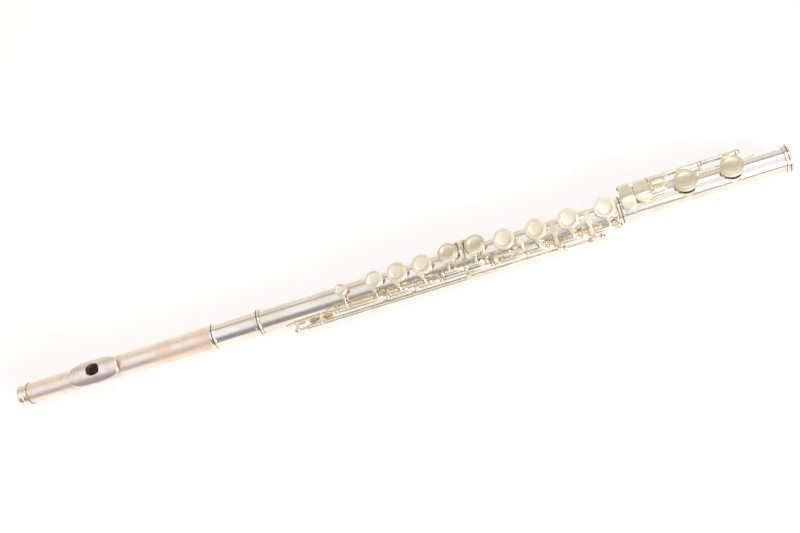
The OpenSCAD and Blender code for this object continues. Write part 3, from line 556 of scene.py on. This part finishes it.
main_rod = rod_of("c_key_hinge")
g_rod = rod_of("g_key_hinge")
thumb_rod = rod_of("thumb_key_hinge")
trill_rod = rod_of("d_trill_hinge")
foot_rod = rod_of("low_c_hinge")
hinge_r = 1.9 * mm
sleeve_thick = 0.08 * mm
tubes = (("c_key", main_rod, 219.1, 259.6), ("bb_key", main_rod, 262.9, 284.2),
         ("a_key", main_rod, 284.4, 305.6), ("bb_key", main_rod, 308.9, 348.4),
         ("bb_key", main_rod, 351.7, 356.4), ("f_sharp_key", main_rod, 356.6, 377.6),
         ("f_key", main_rod, 377.9, 400.4), ("e_key", main_rod, 403.8, 429.9),
         ("d_key", main_rod, 430.1, 452.2), ("g_key", g_rod, 311.6, 327.3),
         ("g_sharp_key", g_rod, 327.5, 331.3), ("g_key", g_rod, 331.5, 344.9),
         ("thumb_key", thumb_rod, 231.7, 290.3), ("d_trill_key", trill_rod, 202.1, 407.0),
         ("d_sharp_trill_key", trill_rod, 188.4, 198.7),
         ("d_sharp_trill_key", trill_rod, 428.5, 437.3),
         ("foot_d_sharp_key", foot_rod, 464.5, 474.8), ("low_c_key", foot_rod, 475.2, 483.8),
         ("foot_c_sharp_key", foot_rod, 484.2, 524.7), ("low_c_key", foot_rod, 528.1, 554.4))
for count, (body, rod, start, end) in enumerate(tubes):
    middle = start_x + (start + end) / 2 * mm
    bpy.ops.mesh.primitive_cylinder_add(vertices=40, radius=hinge_r + sleeve_thick,
                                        depth=(end - start) * mm, location=(middle, rod.x, rod.y),
                                        rotation=(0, math.pi / 2, 0))
    sleeve = bpy.context.object
    sleeve.name = f"hinge_tube_{count + 1}"
    round_edges(sleeve, 0.15 * mm, 2)
    finish(sleeve, rod_metal, body)
    ring_of_dirt_and_shade(f"hinge_line_{count + 1}", start_x + start * mm, rod.x, rod.y, hinge_r, 0.16 * mm,
                 body)


# Arms
# Each arm is cast with a neck that flares into its cup like a drop, and is filed round on top.
def along(a, b, share):
    """A point on the line from a to b."""
    return a + (b - a) * share


def ray(r, degrees):
    """A place across the flute at a radius and an angle from the top, towards the player."""
    turn = math.radians(degrees)
    return Vector((-r * math.sin(turn), r * math.cos(turn)))


def loft(name, rings):
    """A closed skin over rings of points, with a cap on each end."""
    size = len(rings[0])
    points = [point for ring in rings for point in ring]
    faces = [tuple(range(size - 1, -1, -1)), tuple(range(len(points) - size, len(points)))]
    for row in range(len(rings) - 1):
        for i in range(size):
            a, b = row * size + i, row * size + (i + 1) % size
            faces.append((a, b, b + size, a + size))
    shape = bpy.data.meshes.new(name)
    shape.from_pydata(points, [], faces)
    made = bpy.data.objects.new(name, shape)
    bpy.context.scene.collection.objects.link(made)
    pick(made)
    bpy.ops.mesh.normals_make_consistent(inside=False)
    bpy.ops.object.mode_set(mode="OBJECT")
    return made


half_thick_mm = 0.42
steps = 5
spokes = 24
section_power = 2.6


def spoon(name, body, at, course):
    """A casting over the flute, through stations of angle, radius and half-width."""
    rings = []
    for (turn_1, r_1, half_1), (turn_2, r_2, half_2) in zip(course, course[1:]):
        for step in range(steps):
            t = step / steps
            ease = t * t * (3 - 2 * t)
            centre = along(turn_1, turn_2, t)
            ring = []
            for spoke in range(spokes):
                x, y = oval(spoke / spokes, 2, 2, section_power)
                spot = ray((along(r_1, r_2, ease) + half_thick_mm * y) * mm, centre)
                ring.append((start_x + (at + x * along(half_1, half_2, t)) * mm, spot.x, spot.y))
            rings.append(ring)
    finish(loft(name, rings), key_metal, body, 60)


large_arm = ((65, 15.1, 1.6), (58, 14.5, 1.35), (52, 14.25, 1.1), (46, 14.6, 1.15), (40, 15.4, 1.7),
             (36, 16.8, 2.4), (32, 18.0, 3.1), (27.5, 17.9, 3.6), (27, 17.9, 3.2))
c_arm = ((65, 15.0, 1.6), (58, 14.2, 1.3), (52, 13.9, 1.1), (44, 14.2, 1.15), (38, 14.9, 1.5),
         (33, 16.2, 2.2), (29, 17.5, 2.8), (24.5, 17.4, 3.2), (24, 17.4, 2.8))
c_sharp_arm = ((65, 15.0, 1.5), (58, 14.0, 1.2), (50, 13.4, 1.0), (42, 13.4, 1.0), (33, 14.1, 1.2),
               (27, 15.3, 1.7), (22, 17.0, 2.2), (18, 16.9, 2.4), (17.6, 16.9, 2.0))
g_arm = ((50, 16.5, 1.5), (45, 15.6, 1.4), (40, 14.6, 1.15), (35, 14.5, 1.15), (29, 15.1, 1.6),
         (25, 16.3, 2.4), (21, 17.7, 3.1), (16.5, 17.6, 3.6), (16, 17.6, 3.2))
foot_arm = ((-56, 17.3, 2.1), (-51, 16.4, 1.7), (-45, 15.55, 1.45), (-40, 15.7, 1.6), (-36, 16.3, 2.2),
            (-32, 18.0, 3.2), (-27, 18.2, 4.0), (-26.6, 18.2, 3.5))
spoon("c_sharp_arm", "c_key", 226, c_sharp_arm)
spoon("c_arm", "c_key", 252.5, c_arm)
spoon("bb_arm", "bb_key", 272.3, large_arm)
spoon("a_arm", "a_key", 293.6, large_arm)
spoon("g_upper_arm", "g_key", 315.9, g_arm)
spoon("g_lower_arm", "g_key", 338.6, g_arm)
spoon("f_arm", "f_key", 389.9, large_arm)
spoon("e_arm", "e_key", 417.6, large_arm)
spoon("d_arm", "d_key", 447.1, large_arm)
spoon("foot_c_sharp_arm", "foot_c_sharp_key", 510.5, foot_arm)
spoon("low_c_arm", "low_c_key", 546.6, foot_arm)


# Touches
# The plates that the fingers press are cast and filed to a pillow shape, and bent to the round of
# the flute. The pillow's profile gives shares of the outline and heights in millimetres.
pillow = ((0.86, -1.25), (0.97, -1.15), (1.0, -0.7), (1.0, -0.2), (0.97, 0.12), (0.88, 0.28),
          (0.7, 0.4), (0.45, 0.46), (0.2, 0.48))


corners = 48


def bent_touch(name, body, at, turn, r, long, wide, power):
    """A pillow plate bent round the bore, with its length along the flute."""
    rings = []
    for share, up in pillow:
        ring = []
        for corner in range(corners):
            x, y = oval(corner / corners, long, wide, power)
            spot = ray(r + up * mm, turn + math.degrees(y * share * mm / r))
            ring.append((start_x + at * mm + x * share * mm, spot.x, spot.y))
        rings.append(ring)
    finish(loft(name, rings), key_metal, body, 50)


spoon("d_sharp_touch", "foot_d_sharp_key", 466.2,
      ((-58, 18.6, 2.8), (-44, 19.4, 3.3), (-32, 19.0, 4.4), (-20, 18.35, 5.4), (-4, 18.2, 5.9),
       (14, 18.2, 5.8), (24, 18.2, 5.0), (30, 18.15, 3.8), (33, 18.1, 2.6), (34.5, 18.0, 1.0),
       (35, 18.0, 0.2)))
spoon("low_c_touch", "low_c_key", 478.5,
      ((-58, 18.3, 2.6), (-44, 19.2, 3.4), (-30, 19.2, 5.2), (-20, 18.9, 6.2), (-8, 18.95, 6.5),
       (4, 19.15, 6.2), (14, 19.3, 5.2), (21, 19.35, 3.8), (25, 19.3, 2.2), (26.5, 19.3, 0.9),
       (27, 19.3, 0.2)))
bent_touch("b_flat_touch", "bb_key", 376.4, 31, 18.65 * mm, 4.7, 9.7, 2.8)
bent_touch("thumb_touch_1", "thumb_key", 257.9, 140, 17.85 * mm, 19.4, 12.4, 2.5)
bent_touch("thumb_touch_2", "thumb_key", 275.9, 142, 17.85 * mm, 15.4, 8.4, 2.5)


# Screws
# Small steel screws close the posts, and set the keys against each other in a short block that is
# soldered on the hinge tube. Each has a filed slot, and they are bright from the screwdriver.
slot_wide, slot_deep = 0.14, 0.35


def screw(name, body, material, at, y, z, way, r, long):
    """A slotted screw whose head faces a given way. The slot is sized by the screw's radius."""
    bpy.ops.mesh.primitive_cylinder_add(vertices=28, radius=r, depth=long, location=(0, 0, 0))
    made = bpy.context.object
    made.name = name
    round_edges(made, 0.16 * r, 2)
    pick(made)
    for side in (-1, 1):
        bpy.ops.mesh.select_all(action="SELECT")
        bpy.ops.mesh.bisect(plane_co=(side * slot_wide * r, 0, 0), plane_no=(1, 0, 0))
    pick(made, lambda face: face.normal.z > 0.9 and abs(face.center.x) < 0.1 * r)
    bpy.ops.mesh.extrude_region_move(TRANSFORM_OT_translate={"value": (0, 0, -slot_deep * r)})
    bpy.ops.object.mode_set(mode="OBJECT")
    turn = Vector(way).normalized().to_track_quat("Z", "Y").to_matrix().to_4x4()
    made.data.transform(Matrix.Translation((start_x + at * mm, y, z)) @ turn)
    return finish(made, material, body, 40)


for name, rod, at, side, body in (("main_screw_1", main_rod, 215.8, -1, "body_joint"),
                                  ("main_screw_2", main_rod, 456.2, 1, "body_joint"),
                                  ("g_screw_1", g_rod, 307.9, -1, "body_joint"),
                                  ("g_screw_2", g_rod, 348.6, 1, "body_joint"),
                                  ("trill_screw_1", trill_rod, 177.4, -1, "body_joint"),
                                  ("trill_screw_2", trill_rod, 441.0, 1, "body_joint"),
                                  ("thumb_screw_1", thumb_rod, 228.2, -1, "body_joint"),
                                  ("thumb_screw_2", thumb_rod, 293.9, 1, "body_joint"),
                                  ("foot_screw_1", foot_rod, 460.9, -1, "foot_joint"),
                                  ("foot_screw_2", foot_rod, 558.1, 1, "foot_joint")):
    screw(name, body, steel, at, rod.x, rod.y, (side, 0, 0), 1.25 * mm, 0.9 * mm)

pitch = 2.4
up = Vector((0.25, 0.97)).normalized()
for body, start, screws in (("f_key", 393.4, 3), ("e_key", 420.2, 3), ("d_key", 449.1, 2)):
    long = pitch * screws
    spot = main_rod + up * 2.5 * mm
    bpy.ops.mesh.primitive_cube_add(size=1, location=(0, 0, 0))
    bar = bpy.context.object
    bar.name = body + "_screw_bar"
    bar.dimensions = (long * mm, 2.3 * mm, 2.2 * mm)
    bpy.ops.object.transform_apply(scale=True)
    apply(bar, "BEVEL", width=0.3 * mm, segments=2)
    turn = Vector((0, up.x, up.y)).to_track_quat("Z", "X").to_matrix().to_4x4()
    bar.data.transform(Matrix.Translation((start_x + (start + long / 2) * mm, spot.x, spot.y)) @ turn)
    finish(bar, key_metal, body)
    for count in range(screws):
        spot = main_rod + up * 4.1 * mm
        screw(f"{body}_screw_{count + 1}", body, rod_metal, start + pitch * (count + 0.5),
              spot.x, spot.y, (0, up.x, up.y), 0.95 * mm, 1.4 * mm)

for count, at in enumerate((358.4, 361.8, 365.2)):
    screw(f"bb_key_screw_{count + 1}", "bb_key", rod_metal, at, main_rod.x + 1.5 * mm,
          main_rod.y + 5.4 * mm, (0, 0, 1), 0.75 * mm, 5.6 * mm)
